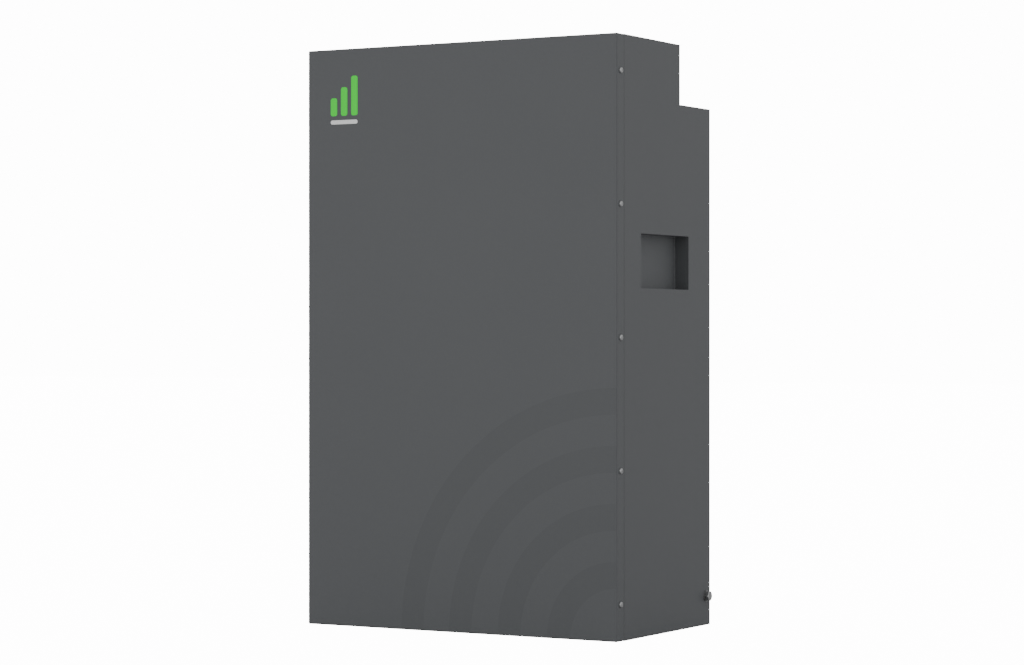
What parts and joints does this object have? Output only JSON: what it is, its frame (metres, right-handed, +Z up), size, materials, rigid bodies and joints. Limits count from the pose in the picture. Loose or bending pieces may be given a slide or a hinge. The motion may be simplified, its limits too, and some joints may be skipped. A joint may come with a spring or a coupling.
{
  "type": "battery storage cabinet",
  "caption": "Tall sheet-metal battery cabinet with a screwed front cover, lifting pockets in its sides and a stepped connection bay at the top rear.",
  "frame": {"origin": "middle of the base, on the floor", "axes": "+X to the right as seen from the front, +Y to the back, +Z up"},
  "size_m": [0.5093, 0.2874, 0.82],
  "materials": {
    "case_paint": "satin",
    "zinc_steel": "satin",
    "foam": "matte",
    "plate_aluminium": "satin",
    "cell_can": "satin",
    "insulator": "matte",
    "busbar_metal": "satin",
    "circuit_board": "satin",
    "fuse_body": "satin",
    "breaker_grey": "satin",
    "lever_black": "satin",
    "block_black": "satin",
    "cover_red": "satin",
    "brass_insert": "satin",
    "button_steel": "satin",
    "button_cap": "satin",
    "cable_sheath": "matte"
  },
  "bodies": {
    "cabinet": {"back_panel": "case_paint", "base_panel": "case_paint", "bay_shelf": "case_paint", "bms_board": "circuit_board", "bms_heatsink": "plate_aluminium", "breaker_case": "breaker_grey", "busbar_carriers": "insulator", "busbars": "busbar_metal", "case_screws": "zinc_steel", "cell_01": "cell_can", "cell_02": "cell_can", "cell_03": "cell_can", "cell_04": "cell_can", "cell_05": "cell_can", "cell_06": "cell_can", "cell_07": "cell_can", "cell_08": "cell_can", "cell_09": "cell_can", "cell_10": "cell_can", "cell_11": "cell_can", "cell_12": "cell_can", "cell_13": "cell_can", "cell_14": "cell_can", "cell_15": "cell_can", "cell_16": "cell_can", "cell_separators": "insulator", "centre_divider": "insulator", "comm_board": "circuit_board", "comm_sockets": "block_black", "cover_gasket": "foam", "cover_nuts": "zinc_steel", "earth_bolt": "zinc_steel", "earth_washer": "zinc_steel", "electronics_plate": "zinc_steel", "front_cover": "case_paint", "front_frame": "zinc_steel", "hinge_pins": "zinc_steel", "left_handle_cup": "case_paint", "left_side_panel": "case_paint", "lower_end_plate": "plate_aluminium", "m8_nuts": "zinc_steel", "main_fuse": "fuse_body", "negative_terminal_block": "block_black", "pack_rails": "zinc_steel", "positive_terminal_block": "block_black", "power_button_body": "button_steel", "power_button_nut": "zinc_steel", "power_cables": "cable_sheath", "right_handle_cup": "case_paint", "right_side_panel": "case_paint", "terminal_inserts": "brass_insert", "tie_rods": "zinc_steel", "top_panel": "case_paint", "upper_end_plate": "plate_aluminium", "wall_rivet_nuts": "zinc_steel"},
    "negative_cover": {"negative_terminal_cover": "block_black"},
    "positive_cover": {"positive_terminal_cover": "cover_red"},
    "lever": {"breaker_lever": "lever_black"},
    "button": {"power_button_cap": "button_cap"}
  },
  "joints": [
    {"name": "positive_cover_hinge", "type": "hinge", "parent": "cabinet", "child": "positive_cover", "pos_m": [-0.055, 0.068, 0.754], "axis": [1, 0, 0], "range_deg": [0, 90]},
    {"name": "negative_cover_hinge", "type": "hinge", "parent": "cabinet", "child": "negative_cover", "pos_m": [-0.165, 0.068, 0.754], "axis": [1, 0, 0], "range_deg": [0, 90]},
    {"name": "breaker_lever_hinge", "type": "hinge", "parent": "cabinet", "child": "lever", "pos_m": [0.045, 0.0945, 0.7365], "axis": [0, 1, 0], "range_deg": [0, 66]},
    {"name": "power_button_slide", "type": "slide", "parent": "cabinet", "child": "button", "axis": [0, 0, -1], "range_m": [0, 0.0025], "stiffness_N_per_m": 400, "springref_m": -0.001}
  ]
}
